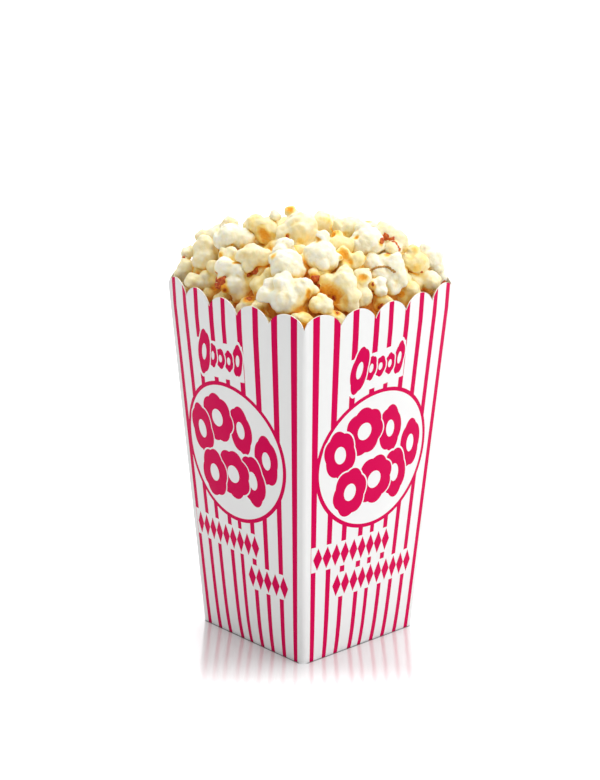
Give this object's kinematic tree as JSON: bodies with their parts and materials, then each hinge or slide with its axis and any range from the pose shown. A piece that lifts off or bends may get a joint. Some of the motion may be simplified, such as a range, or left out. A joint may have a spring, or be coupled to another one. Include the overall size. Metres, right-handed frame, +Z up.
{
  "type": "box of popcorn",
  "caption": "Square tapered paper carton with a scalloped rim and bowed walls, heaped above the rim with popped corn.",
  "frame": {"origin": "middle of the carton's foot, on the surface that it stands on", "axes": "+Z up; the four walls face -Y, +X, +Y and -X, and the picture looks over the fold between the -Y and +X walls"},
  "size_m": [0.1292, 0.1292, 0.2474],
  "materials": {
    "card": "uncoated white board with magenta stripes",
    "popcorn": "matte"
  },
  "bodies": {
    "root": {"carton": "card", "popcorn": "popcorn"}
  },
  "joints": []
}
